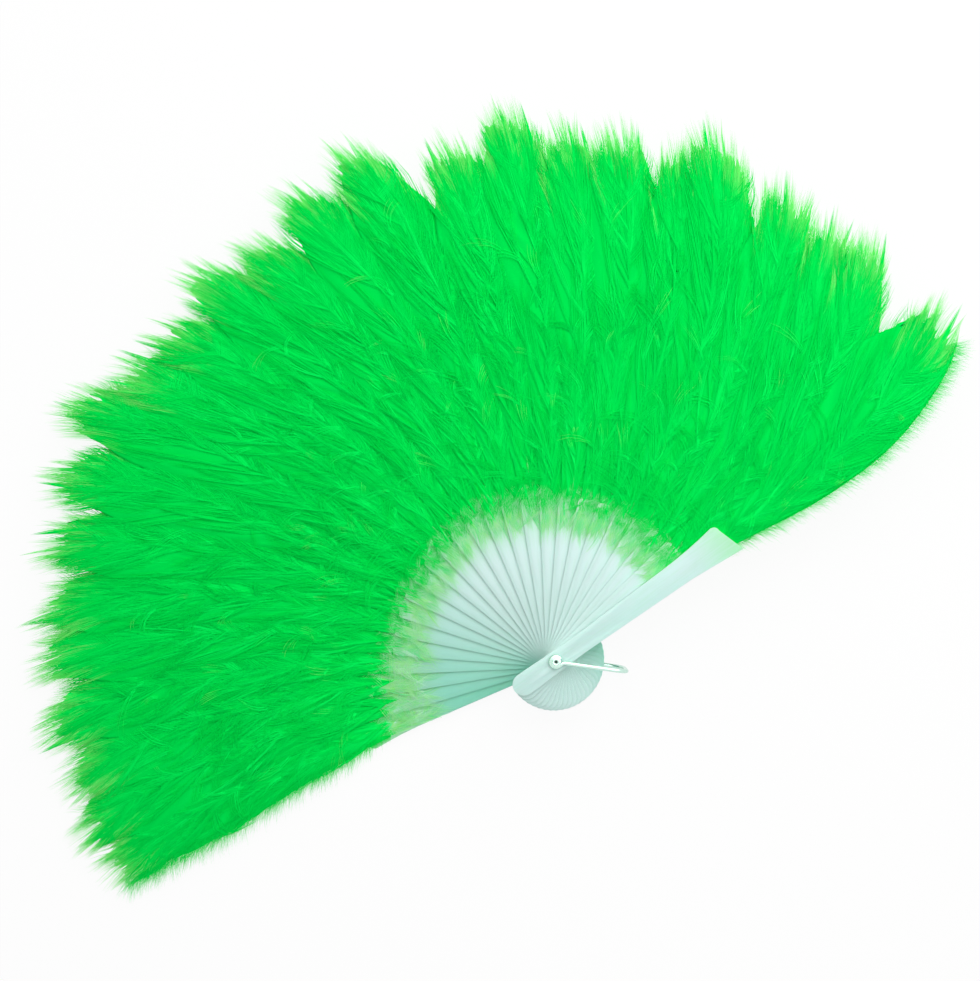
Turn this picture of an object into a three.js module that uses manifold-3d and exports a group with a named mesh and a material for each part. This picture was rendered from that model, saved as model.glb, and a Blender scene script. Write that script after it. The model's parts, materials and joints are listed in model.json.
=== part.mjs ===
// Folding feather hand fan: flat plastic staves that turn on one rivet, each with a plume.
// Millimetres, +Z up. The rivet's axis is Z and its back head stands on z = 0, with the fan
// spread open over +Y: the back guard lies low on the left, the front guard high on the right.

import * as THREE from 'three';
import { mergeVertices } from 'three/addons/utils/BufferGeometryUtils.js';
import Module from 'manifold-3d';

const wasm = await Module();
wasm.setup();

// The stack of staves, opened as far as the thread lets it
const staveCount = 25;
const spreadAngle = 166.3;
const middleAngle = 90;
const layerGap = 0.3;

// Staves in plan, from the tail behind the rivet to the rib that carries the plume
const tailReach = 24;
const tailHalfWidth = 5.3;
const neckHalfWidth = 4.6;
const neckLength = 14;
const bladeReach = 78;
const bladeHalfWidth = 6.1;
const bladeCorner = 2.5;
const ribReach = 150;
const ribHalfWidth = 2;
const ribTipHalfWidth = 1.2;
const ribOverlap = 8;

// Staves through their thickness: plume and rib share the layer of the thicker blade
const ribThickness = 0.35;
const plumeThickness = 0.35;
const glueGap = 0.1;

// Guards, the two stout outer staves, rebated where their plume is glued on
const guardReach = 101;
const guardHalfWidth = 8.4;
const guardWaist = 58;
const guardWaistHalfWidth = 5.6;
const guardEndSkew = 2.1;
const guardCorner = 3.2;
const guardExtra = 0.6;
const rebateReach = 72;

// Rivet: a hollow pin with a flat back head, rolled over a collar in front
const pinRadius = 1.3;
const headRadius = 3.4;
const headThickness = 1;
const headEdge = 0.3;
const collarRadius = 2.4;
const collarThickness = 0.8;
const collarClearance = 0.1;
const rolledRadius = 1.85;
const rolledHeight = 0.6;
const boreRadius = 0.75;
const boreDepth = 3;
const turningClearance = 0.35;

// Wire bail, a long loop that swings on both ends of the rivet
const wireRadius = 0.9;
const bailReach = 34;
const bailBendRadius = 7;
const bailAngle = -37;
const eyeClearance = 0.3;

// Link thread, woven down through a hole in every plume and rib
const threadRadius = 0.22;
const threadReach = 112;
const threadHoleRadius = 1.15;
const threadSlant = 0.9;
const threadLift = 0.12;
const threadPass = 0.9;
const threadTail = 2.5;

// Plumes, back guard's first, front guard's last: how far each tip reaches from the rivet and by
// how many degrees it leans anticlockwise of its stave
const plumeTipReaches = [
  239, 244, 243, 247, 248, 249, 251, 256, 264, 250, 247, 254, 246,
  257, 263, 251, 263, 252, 252, 249, 260, 250, 246, 247, 247,
];
const plumeLeans = [
  2.9, 5.3, 6, 6.7, 6.1, 7.6, 7, 6.4, 6, 6.8, 7.6, 7.6, 7.9,
  7.8, 7.8, 3.8, 4.6, 4.8, 5.8, 5.4, 9.6, 6.8, 6.8, 10.5, 5.6,
];
const plumeLeanPower = 1.5;
const plumeHalfWidth = 21;
const backPlumeHalfWidth = 17;
const plumeRootHalfWidth = 4.4;
const plumeNeckLength = 6;
const plumeWideShare = 0.62;
const plumeTipHalfWidth = 12;
const plumeTipRound = 7;
const tuftDepth = 5;
const tuftCount = 4;

// How finely curves are cut, how near corners are welded and how far a cut runs past a face
const outlineSteps = 5;
const plumeNeckSteps = 2;
const plumeSideSteps = 8;
const turnedSteps = 24;
const wireSides = 8;
const wireSteps = 30;
const threadSides = 6;
const weldDistance = 1e-4;
const cutBeyond = 1;

// Sizes that follow from the driving ones
const bladeThickness = ribThickness + glueGap + plumeThickness;
const levelPitch = bladeThickness + layerGap;
const pitchAngle = spreadAngle / (staveCount - 1);
const plumeNeckReach = threadReach + plumeNeckLength;
const plumeNeckHalfWidth = threadReach * toRadians(pitchAngle) / 2 - threadPass;
const backEyeFloor = headThickness + layerGap;
const backGuardFloor = backEyeFloor + 2 * wireRadius + layerGap;
const firstLevel = backGuardFloor + guardExtra;
const frontGuardTop = staveLevel(staveCount) + bladeThickness + guardExtra;
const frontEyeFloor = frontGuardTop + layerGap;
const collarFloor = frontEyeFloor + 2 * wireRadius + layerGap;
const rolledFloor = collarFloor + collarThickness + collarClearance;

function toRadians(degrees) {
  return THREE.MathUtils.degToRad(degrees);
}

// Stave 1 is the back guard and the last stave is the front guard
function staveAngle(number) {
  return middleAngle + spreadAngle / 2 - (number - 1) * pitchAngle;
}

function staveLevel(number) {
  return firstLevel + (number - 1) * levelPitch;
}

function mouldedPlastic() {
  return new THREE.MeshStandardMaterial({ color: 0xd2eee8, roughness: 0.35, metalness: 0 });
}

function dyedFeather() {
  return new THREE.MeshStandardMaterial({ color: 0x02d548, roughness: 0.9, metalness: 0 });
}

function platedSteel() {
  return new THREE.MeshStandardMaterial({ color: 0xcfd8d4, roughness: 0.28, metalness: 1 });
}

function twistedThread() {
  return new THREE.MeshStandardMaterial({ color: 0x8fe6b4, roughness: 0.7, metalness: 0 });
}

function toSolid(geometry) {
  const bare = geometry.clone();
  bare.deleteAttribute('normal');
  bare.deleteAttribute('uv');
  const merged = mergeVertices(bare, weldDistance);
  return new wasm.Manifold(new wasm.Mesh({
    numProp: 3,
    vertProperties: Float32Array.from(merged.attributes.position.array),
    triVerts: Uint32Array.from(merged.index.array),
  }));
}

function toGeometry(solid) {
  const mesh = solid.getMesh();
  const geometry = new THREE.BufferGeometry();
  geometry.setAttribute('position', new THREE.BufferAttribute(mesh.vertProperties, 3));
  geometry.setIndex(new THREE.BufferAttribute(mesh.triVerts, 1));
  geometry.computeVertexNormals();
  return geometry;
}

function plate(outline, floor, top) {
  const geometry = new THREE.ExtrudeGeometry(outline, {
    depth: top - floor,
    bevelEnabled: false,
    curveSegments: outlineSteps,
  });
  return toSolid(geometry.translate(0, 0, floor));
}

// A bar along the stave, used to cut the room that a rib or a guard takes in a plume
function bar(near, far, halfWidth, floor, top) {
  const outline = new THREE.Shape();
  outline.moveTo(near, -halfWidth);
  outline.lineTo(far, -halfWidth);
  outline.lineTo(far, halfWidth);
  outline.lineTo(near, halfWidth);
  return plate(outline, floor, top);
}

function roundHole(x, radius) {
  const hole = new THREE.Path();
  hole.absarc(x, 0, radius, 0, 2 * Math.PI);
  return hole;
}

// The tail's petal, the narrow neck at the rivet and the hole that every stave turns on
function beginAtNeck(outline) {
  const tailCentre = tailReach - tailHalfWidth;
  const pull = tailCentre / 2;
  outline.moveTo(neckLength, neckHalfWidth);
  outline.bezierCurveTo(0, neckHalfWidth, -pull, tailHalfWidth, -tailCentre, tailHalfWidth);
  outline.absarc(-tailCentre, 0, tailHalfWidth, Math.PI / 2, 1.5 * Math.PI);
  outline.bezierCurveTo(-pull, -tailHalfWidth, 0, -neckHalfWidth, neckLength, -neckHalfWidth);
  outline.holes.push(roundHole(0, pinRadius + turningClearance));
}

function bladeOutline() {
  const outline = new THREE.Shape();
  const side = bladeHalfWidth;
  beginAtNeck(outline);
  outline.lineTo(bladeReach - bladeCorner, -side);
  outline.quadraticCurveTo(bladeReach, -side, bladeReach, bladeCorner - side);
  outline.lineTo(bladeReach, side - bladeCorner);
  outline.quadraticCurveTo(bladeReach, side, bladeReach - bladeCorner, side);
  return outline;
}

function ribOutline(near) {
  const outline = new THREE.Shape();
  const tipCentre = ribReach - ribTipHalfWidth;
  outline.moveTo(near, -ribHalfWidth);
  outline.lineTo(tipCentre, -ribTipHalfWidth);
  outline.absarc(tipCentre, 0, ribTipHalfWidth, -Math.PI / 2, Math.PI / 2);
  outline.lineTo(near, ribHalfWidth);
  outline.holes.push(roundHole(threadReach, threadHoleRadius));
  return outline;
}

function staveGeometry() {
  const blade = plate(bladeOutline(), 0, bladeThickness);
  const rib = plate(ribOutline(bladeReach - ribOverlap), 0, ribThickness);
  return toGeometry(blade.add(rib));
}

// The guard flares past its waist to a skew end with one round corner
function guardOutline() {
  const outline = new THREE.Shape();
  const flare = (guardWaist + guardReach) / 2;
  const leftEnd = guardReach - guardEndSkew;
  const rightEnd = guardReach + guardEndSkew;
  beginAtNeck(outline);
  outline.lineTo(guardWaist, -guardWaistHalfWidth);
  outline.quadraticCurveTo(flare, -guardWaistHalfWidth, rightEnd, -guardHalfWidth);
  outline.lineTo(leftEnd, guardHalfWidth - guardCorner);
  outline.quadraticCurveTo(leftEnd, guardHalfWidth, leftEnd - guardCorner, guardHalfWidth);
  outline.quadraticCurveTo(flare, guardWaistHalfWidth, guardWaist, guardWaistHalfWidth);
  return outline;
}

function guardHubOutline() {
  const outline = new THREE.Shape();
  beginAtNeck(outline);
  outline.lineTo(guardWaist, -guardWaistHalfWidth);
  outline.lineTo(rebateReach, -guardWaistHalfWidth);
  outline.lineTo(rebateReach, guardWaistHalfWidth);
  outline.lineTo(guardWaist, guardWaistHalfWidth);
  return outline;
}

function backGuardGeometry() {
  const plateSolid = plate(guardOutline(), -guardExtra, ribThickness);
  const hub = plate(guardHubOutline(), -guardExtra, bladeThickness);
  const rib = plate(ribOutline(guardReach - ribOverlap), 0, ribThickness);
  return toGeometry(plateSolid.add(hub).add(rib));
}

function frontGuardGeometry() {
  const plateSolid = plate(guardOutline(), plumeThickness + glueGap, bladeThickness + guardExtra);
  const hub = plate(guardHubOutline(), 0, bladeThickness + guardExtra);
  return toGeometry(plateSolid.add(hub));
}

// Half the width of a plume: slim where the thread passes, full further out, round at the tip
function plumeHalfWidthAt(reach, plume) {
  const { smoothstep, lerp } = THREE.MathUtils;
  if (reach < plumeNeckReach) {
    const share = smoothstep(reach, plume.root, plumeNeckReach);
    return lerp(plumeRootHalfWidth, plumeNeckHalfWidth, share);
  }
  const wideReach = lerp(plumeNeckReach, plume.tip, plumeWideShare);
  if (reach < wideReach) {
    return lerp(plumeNeckHalfWidth, plume.halfWidth, smoothstep(reach, plumeNeckReach, wideReach));
  }
  const share = (reach - wideReach) / (plume.tip - wideReach);
  return lerp(plumeTipHalfWidth, plume.halfWidth, Math.sqrt(1 - share * share));
}

// A point beside the plume's spine, which leans anticlockwise beyond the neck
function plumePoint(reach, offset, plume) {
  const share = Math.max(0, (reach - plumeNeckReach) / (plume.tip - plumeNeckReach));
  const angle = toRadians(plume.lean) * share ** plumeLeanPower + offset / reach;
  return new THREE.Vector2(reach * Math.cos(angle), reach * Math.sin(angle));
}

function plumeSide(plume, sign) {
  const sideTip = plume.tip - plumeTipRound;
  const reaches = [];
  for (let step = 0; step <= plumeNeckSteps; step += 1) {
    reaches.push(THREE.MathUtils.lerp(plume.root, plumeNeckReach, step / plumeNeckSteps));
  }
  for (let step = 1; step <= plumeSideSteps; step += 1) {
    reaches.push(THREE.MathUtils.lerp(plumeNeckReach, sideTip, step / plumeSideSteps));
  }
  return reaches.map((reach) => plumePoint(reach, sign * plumeHalfWidthAt(reach, plume), plume));
}

// The tip is split in tufts, with the middle ones the longest
function plumeTufts(plume) {
  const points = [];
  const halfWidth = plumeTipHalfWidth;
  for (let step = 1; step < 2 * tuftCount; step += 1) {
    const across = step / tuftCount - 1;
    const valley = step % 2 === 0 ? tuftDepth : 0;
    const reach = plume.tip - valley - plumeTipRound * across * across;
    points.push(plumePoint(reach, across * halfWidth, plume));
  }
  return points;
}

function plumeSolid(plume) {
  const outline = new THREE.Shape([
    ...plumeSide(plume, -1),
    ...plumeTufts(plume),
    ...plumeSide(plume, 1).reverse(),
  ]);
  outline.holes.push(roundHole(threadReach, threadHoleRadius));
  return plate(outline, 0, bladeThickness);
}

// What a plume leaves free below for the rib under it, or for the guard that it is glued to
function ribRoom() {
  const halfWidth = ribHalfWidth + layerGap;
  return bar(0, ribReach + layerGap, halfWidth, -cutBeyond, ribThickness + glueGap);
}

function guardRoom(floor, top) {
  const reach = guardReach + guardEndSkew + layerGap;
  return bar(0, reach, guardHalfWidth + layerGap, floor, top);
}

function plumeGeometry(number) {
  const isBack = number === 1;
  const isFront = number === staveCount;
  const plume = {
    root: (isBack || isFront ? rebateReach : bladeReach) + layerGap,
    tip: plumeTipReaches[number - 1],
    lean: plumeLeans[number - 1],
    halfWidth: isBack ? backPlumeHalfWidth : plumeHalfWidth,
  };
  let solid = plumeSolid(plume);
  if (isFront) {
    solid = solid.subtract(guardRoom(plumeThickness, bladeThickness + cutBeyond));
  } else {
    solid = solid.subtract(ribRoom());
  }
  if (isBack) {
    solid = solid.subtract(guardRoom(-cutBeyond, ribThickness + glueGap));
  }
  return toGeometry(solid);
}

function turned(profile) {
  const points = profile.map(([radius, height]) => new THREE.Vector2(radius, height));
  return new THREE.LatheGeometry(points, turnedSteps).rotateX(Math.PI / 2);
}

function rivetPinGeometry() {
  const rimTop = rolledFloor + rolledHeight;
  return turned([
    [0, 0],
    [headRadius - headEdge, 0],
    [headRadius, headEdge],
    [headRadius, headThickness - headEdge],
    [headRadius - headEdge, headThickness],
    [pinRadius, headThickness],
    [pinRadius, rolledFloor],
    [rolledRadius, rolledFloor],
    [rolledRadius, rolledFloor + rolledHeight / 2],
    [(rolledRadius + boreRadius) / 2, rimTop],
    [boreRadius, rimTop - rolledHeight / 3],
    [boreRadius, rimTop - boreDepth],
    [0, rimTop - boreDepth],
  ]);
}

function rivetCollarGeometry() {
  const inner = pinRadius + collarClearance;
  const top = collarFloor + collarThickness;
  const edge = collarThickness / 3;
  return turned([
    [inner, collarFloor],
    [collarRadius, collarFloor],
    [collarRadius, top - edge],
    [collarRadius - edge, top],
    [inner, top],
    [inner, collarFloor],
  ]);
}

function wireSection(radius, sides) {
  const section = new THREE.Shape();
  for (let side = 0; side < sides; side += 1) {
    const angle = 2 * Math.PI * (side + 0.5) / sides;
    const x = radius * Math.cos(angle);
    const y = radius * Math.sin(angle);
    if (side === 0) {
      section.moveTo(x, y);
    } else {
      section.lineTo(x, y);
    }
  }
  return section;
}

// Long loop in the plane of the rivet's axis, with a round bend at each far corner
function bailPath(eyeReach, backHeight, frontHeight) {
  const path = new THREE.CurvePath();
  const bend = bailBendRadius;
  const at = (x, z) => new THREE.Vector3(x, 0, z);
  path.add(new THREE.LineCurve3(at(eyeReach, backHeight), at(bailReach - bend, backHeight)));
  path.add(new THREE.QuadraticBezierCurve3(
    at(bailReach - bend, backHeight),
    at(bailReach, backHeight),
    at(bailReach, backHeight + bend),
  ));
  path.add(new THREE.LineCurve3(
    at(bailReach, backHeight + bend),
    at(bailReach, frontHeight - bend),
  ));
  path.add(new THREE.QuadraticBezierCurve3(
    at(bailReach, frontHeight - bend),
    at(bailReach, frontHeight),
    at(bailReach - bend, frontHeight),
  ));
  path.add(new THREE.LineCurve3(at(bailReach - bend, frontHeight), at(eyeReach, frontHeight)));
  return path;
}

function bailEye(height) {
  const middle = pinRadius + eyeClearance + wireRadius;
  const profile = [];
  for (let side = 0; side <= wireSides; side += 1) {
    const angle = 2 * Math.PI * (side + 0.5) / wireSides;
    profile.push([middle + wireRadius * Math.cos(angle), height + wireRadius * Math.sin(angle)]);
  }
  return toSolid(turned(profile));
}

function bailGeometry() {
  const backHeight = backEyeFloor + wireRadius;
  const frontHeight = frontEyeFloor + wireRadius;
  const eyeMiddle = pinRadius + eyeClearance + wireRadius;
  const loop = new THREE.ExtrudeGeometry(wireSection(wireRadius, wireSides), {
    steps: wireSteps,
    bevelEnabled: false,
    extrudePath: bailPath(eyeMiddle, backHeight, frontHeight),
  });
  return toGeometry(toSolid(loop).add(bailEye(backHeight)).add(bailEye(frontHeight)));
}

// The thread's corners: over a plume, down through its hole, under its rib to the next one
function threadCorners() {
  const corners = [];
  const clear = threadRadius + threadLift;
  const addCorner = (number, offset, height) => {
    const angle = toRadians(staveAngle(number)) + offset / threadReach;
    const x = threadReach * Math.cos(angle);
    const y = threadReach * Math.sin(angle);
    corners.push(new THREE.Vector3(x, y, height));
  };
  for (let number = staveCount; number >= 1; number -= 1) {
    const over = staveLevel(number) + bladeThickness + clear;
    const under = staveLevel(number) - clear;
    addCorner(number, number === staveCount ? -threadTail : -plumeNeckHalfWidth, over);
    addCorner(number, -threadSlant, over);
    addCorner(number, threadSlant, under);
    addCorner(number, number === 1 ? threadTail : plumeNeckHalfWidth, under);
  }
  return corners;
}

// Straight runs between corners, with one step of the tube on each of them
class CorneredPath extends THREE.Curve {
  constructor(corners) {
    super();
    this.corners = corners;
  }

  getPoint(t, target = new THREE.Vector3()) {
    const runs = this.corners.length - 1;
    const run = Math.min(Math.floor(t * runs), runs - 1);
    return target.lerpVectors(this.corners[run], this.corners[run + 1], t * runs - run);
  }

  getPointAt(share, target) {
    return this.getPoint(share, target);
  }

  getTangentAt(share, target) {
    return this.getTangent(share, target);
  }
}

function threadGeometry() {
  const corners = threadCorners();
  return new THREE.ExtrudeGeometry(wireSection(threadRadius, threadSides), {
    steps: corners.length - 1,
    bevelEnabled: false,
    extrudePath: new CorneredPath(corners),
  });
}

function addPiece(parent, name, geometry, material) {
  const mesh = new THREE.Mesh(geometry, material);
  mesh.name = name;
  parent.add(mesh);
}

function staveName(number) {
  if (number === 1) {
    return 'back_guard';
  }
  return number === staveCount ? 'front_guard' : `stave_${String(number).padStart(2, '0')}`;
}

function staveShape(number) {
  if (number === 1) {
    return backGuardGeometry();
  }
  return number === staveCount ? frontGuardGeometry() : staveGeometry();
}

// One stave with its plume, turned to its place in the spread and raised to its layer
function staveWithPlume(number) {
  const leaf = new THREE.Group();
  leaf.rotation.z = toRadians(staveAngle(number));
  leaf.position.z = staveLevel(number);
  addPiece(leaf, staveName(number), staveShape(number), mouldedPlastic());
  const plumeName = `plume_${String(number).padStart(2, '0')}`;
  addPiece(leaf, plumeName, plumeGeometry(number), dyedFeather());
  return leaf;
}

const fan = new THREE.Group();
for (let number = 1; number <= staveCount; number += 1) {
  fan.add(staveWithPlume(number));
}
addPiece(fan, 'rivet_pin', rivetPinGeometry(), platedSteel());
addPiece(fan, 'rivet_collar', rivetCollarGeometry(), platedSteel());
addPiece(fan, 'link_thread', threadGeometry(), twistedThread());

const bailPlace = new THREE.Group();
bailPlace.rotation.z = toRadians(bailAngle);
addPiece(bailPlace, 'bail', bailGeometry(), platedSteel());
fan.add(bailPlace);

export default fan;
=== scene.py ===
import json
import math

import bpy
import numpy as np
from mathutils import Matrix, Vector


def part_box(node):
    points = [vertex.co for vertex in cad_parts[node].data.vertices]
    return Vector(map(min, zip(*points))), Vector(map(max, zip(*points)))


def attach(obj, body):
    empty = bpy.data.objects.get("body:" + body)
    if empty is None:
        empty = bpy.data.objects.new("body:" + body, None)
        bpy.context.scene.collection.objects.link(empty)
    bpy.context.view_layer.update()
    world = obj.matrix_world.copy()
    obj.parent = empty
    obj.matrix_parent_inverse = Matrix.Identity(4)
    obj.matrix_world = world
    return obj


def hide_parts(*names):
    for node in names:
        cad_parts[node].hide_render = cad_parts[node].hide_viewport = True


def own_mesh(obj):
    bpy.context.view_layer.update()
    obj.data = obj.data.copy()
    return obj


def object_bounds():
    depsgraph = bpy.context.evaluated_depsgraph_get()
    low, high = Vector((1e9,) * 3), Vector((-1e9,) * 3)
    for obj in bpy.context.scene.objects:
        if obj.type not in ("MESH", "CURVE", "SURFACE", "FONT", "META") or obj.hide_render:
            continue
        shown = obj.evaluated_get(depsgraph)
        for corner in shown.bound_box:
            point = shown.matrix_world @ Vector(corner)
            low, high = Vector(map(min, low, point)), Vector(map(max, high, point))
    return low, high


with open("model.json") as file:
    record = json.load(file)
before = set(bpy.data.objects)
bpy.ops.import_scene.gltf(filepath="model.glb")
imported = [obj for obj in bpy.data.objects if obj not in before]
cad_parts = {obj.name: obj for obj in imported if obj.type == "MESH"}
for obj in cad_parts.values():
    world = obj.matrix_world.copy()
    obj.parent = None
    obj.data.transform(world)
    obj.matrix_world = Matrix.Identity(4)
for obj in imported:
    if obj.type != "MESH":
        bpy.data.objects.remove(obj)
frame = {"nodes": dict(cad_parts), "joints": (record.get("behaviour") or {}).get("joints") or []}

cad_low, cad_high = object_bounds()
bpy.context.scene.view_settings.view_transform = "Standard"

# Camera: square on to the open fan from the front, turned about the view axis as in the photo.
# The rivet's place and the scale of the photo in the rivet's plane give where it looks.
MM = 0.001
PHOTO_WIDTH, PHOTO_HEIGHT = 980, 981
RIVET_PIXEL = (556, 662)
PIXEL_SIZE = 0.4717 * MM
PHOTO_TURN = math.radians(28.85)
CAMERA_DISTANCE = 1.2
SENSOR_WIDTH = 36
VIEW_DEPTH = 20

image_right = Vector((math.cos(PHOTO_TURN), -math.sin(PHOTO_TURN), 0))
image_up = Vector((math.sin(PHOTO_TURN), math.cos(PHOTO_TURN), 0))
steps_right = PHOTO_WIDTH / 2 - RIVET_PIXEL[0]
steps_up = RIVET_PIXEL[1] - PHOTO_HEIGHT / 2
rivet_front = Vector((0, 0, cad_high.z))
aim = rivet_front + (image_right * steps_right + image_up * steps_up) * PIXEL_SIZE
bpy.ops.object.camera_add(
    location=aim + Vector((0, 0, CAMERA_DISTANCE)),
    rotation=(0, 0, -PHOTO_TURN),
)
camera = bpy.context.object
camera.data.sensor_width = SENSOR_WIDTH
camera.data.lens = SENSOR_WIDTH * CAMERA_DISTANCE / (PHOTO_WIDTH * PIXEL_SIZE)
camera.data.clip_end = VIEW_DEPTH
bpy.context.scene.camera = camera


# Floor: plain white card under the fan. Seen by the camera it is nearly a white of its own,
# and the rest of it is lit card, which keeps the fan's soft shadow.
FLOOR_SIZE = 8
FLOOR_WHITE = "FFFFFF"
FLOOR_OWN_WHITE = 0.92


def linear(hex_colour):
    """Linear RGBA of an sRGB hex colour."""
    shares = [int(hex_colour[place:place + 2], 16) / 255 for place in (0, 2, 4)]
    return [s / 12.92 if s <= 0.04045 else ((s + 0.055) / 1.055) ** 2.4 for s in shares] + [1]


def new_material(name):
    """An empty node material, ready for nodes."""
    material = bpy.data.materials.new(name)
    material.use_nodes = True
    material.node_tree.nodes.clear()
    return material


def add_node(material, kind, settings=None, values=None, links=None):
    """Adds a node, sets its properties and sockets, and links (socket: (node, output))."""
    tree = material.node_tree
    node = tree.nodes.new(kind)
    for name, value in (settings or {}).items():
        setattr(node, name, value)
    for name, value in (values or {}).items():
        node.inputs[name].default_value = value
    for name, (source, output) in (links or {}).items():
        tree.links.new(source.outputs[output], node.inputs[name])
    return node


def looked_at(material):
    """A node that gives 1 to the rays of the camera and of mirrors, and 0 to all others."""
    rays = add_node(material, "ShaderNodeLightPath")
    return add_node(
        material, "ShaderNodeMath", {"operation": "MAXIMUM"},
        links={0: (rays, "Is Camera Ray"), 1: (rays, "Is Glossy Ray")},
    )


def white_card():
    """Matt white card, of which the camera and mirrors see a share as plain white."""
    card = new_material("white_card")
    lit = add_node(card, "ShaderNodeBsdfDiffuse", values={"Color": linear(FLOOR_WHITE)})
    own = add_node(card, "ShaderNodeEmission", values={"Color": linear(FLOOR_WHITE), "Strength": 1})
    share = add_node(
        card, "ShaderNodeMath", {"operation": "MULTIPLY"}, {1: FLOOR_OWN_WHITE},
        {0: (looked_at(card), "Value")},
    )
    mix = add_node(
        card, "ShaderNodeMixShader",
        links={0: (share, "Value"), 1: (lit, "BSDF"), 2: (own, "Emission")},
    )
    add_node(card, "ShaderNodeOutputMaterial", links={"Surface": (mix, "Shader")})
    return card


bpy.ops.object.select_all(action="DESELECT")
bpy.ops.mesh.primitive_plane_add(size=FLOOR_SIZE, location=(0, 0, 0))
floor = bpy.context.object
floor.name = "floor"
floor.data.materials.append(white_card())


# Light: an even sky, which metal and the camera see as plain white, and one soft lamp over the
# upper right of the photo, near enough that the light falls off towards the lower left.
SKY_STRENGTH = 0.37
KEY_POWER = 10.2
KEY_SIZE = 1.5
KEY_REACH = 0.6
KEY_TURN = math.radians(38)
KEY_HEIGHT = 0.76

world = bpy.data.worlds.new("even_sky")
bpy.context.scene.world = world
world.use_nodes = True
world.node_tree.nodes.clear()
strength = add_node(
    world, "ShaderNodeMapRange", values={"To Min": SKY_STRENGTH, "To Max": 1},
    links={"Value": (looked_at(world), "Value")},
)
sky = add_node(
    world, "ShaderNodeBackground", values={"Color": (1, 1, 1, 1)},
    links={"Strength": (strength, "Result")},
)
add_node(world, "ShaderNodeOutputWorld", links={"Surface": (sky, "Background")})

key_spot = Vector((KEY_REACH * math.cos(KEY_TURN), KEY_REACH * math.sin(KEY_TURN), KEY_HEIGHT))
bpy.ops.object.light_add(type="AREA", location=key_spot)
key = bpy.context.object
key.data.shape = "DISK"
key.data.size = KEY_SIZE
key.data.energy = KEY_POWER
key.rotation_euler = (aim - key_spot).to_track_quat("-Z", "Y").to_euler()


# Staves: 23 alike inner staves and two guards, injection moulded in milky mint polystyrene.
# Each is a flat strip with softly rounded edges, and it turns on the rivet in its own layer.
STAVE_COUNT = 25
MIDDLE_STAVE = 13
STAVE_EDGE = 0.35 * MM
STAVE_EDGE_STEPS = 3
WELD = 0.002 * MM
FLAT_ANGLE = math.radians(2)
SHARP_EDGE = math.radians(60)
SMOOTH_ANGLE = math.radians(35)
# Painted light: the plastic is painted green towards the plume, for green light bounced onto it
# from the dyed down.
GREEN_BOUNCE_START = 50
GREEN_BOUNCE_END = 84
# Painted shade: a stave is painted darker and greener the lower it lies in the stack, for its shade
# and green light bounced from the down.
SHADE_FULL_BELOW, SHADE_GONE_ABOVE = 3 * MM, 18 * MM
SHADED_LOW_MINT = "88E0C4"
MILKY_MINT = "D2F6EE"
BOUNCE_GREEN_MINT = "A4EBB4"
FRONT_GUARD_BOUNCE_SHIFT = 25
FLOW_LINES_PER_MM = (0.05, 1.1, 1)
FLOW_DEPTH = 0.02 * MM
NOISE_LOW, NOISE_HIGH = 0.3, 0.7
POLYSTYRENE_IOR = 1.59
MILKINESS = 0.55
MILK_DEPTH, MILK_SPREAD = 1.5 * MM, (1, 1.3, 1.2)

fold_joint = next(j for j in frame["joints"] if j["name"] == "fan_fold")
SPREAD = math.radians(fold_joint["range_deg"][1])


def stave_angle(number):
    """The way stave number points, from the back guard, 1, to the front guard, 25."""
    return math.pi / 2 + SPREAD / 2 - (number - 1) * SPREAD / (STAVE_COUNT - 1)


def stave_node(number):
    """The CAD node of that stave."""
    ends = {1: "back_guard", STAVE_COUNT: "front_guard"}
    return ends.get(number, f"stave_{number:02d}")


def leaf_body(number):
    """The CAD body that the stave and its plume belong to."""
    ends = {1: "back_leaf", STAVE_COUNT: "front_leaf"}
    return ends.get(number, f"leaf_{number:02d}")


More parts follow.
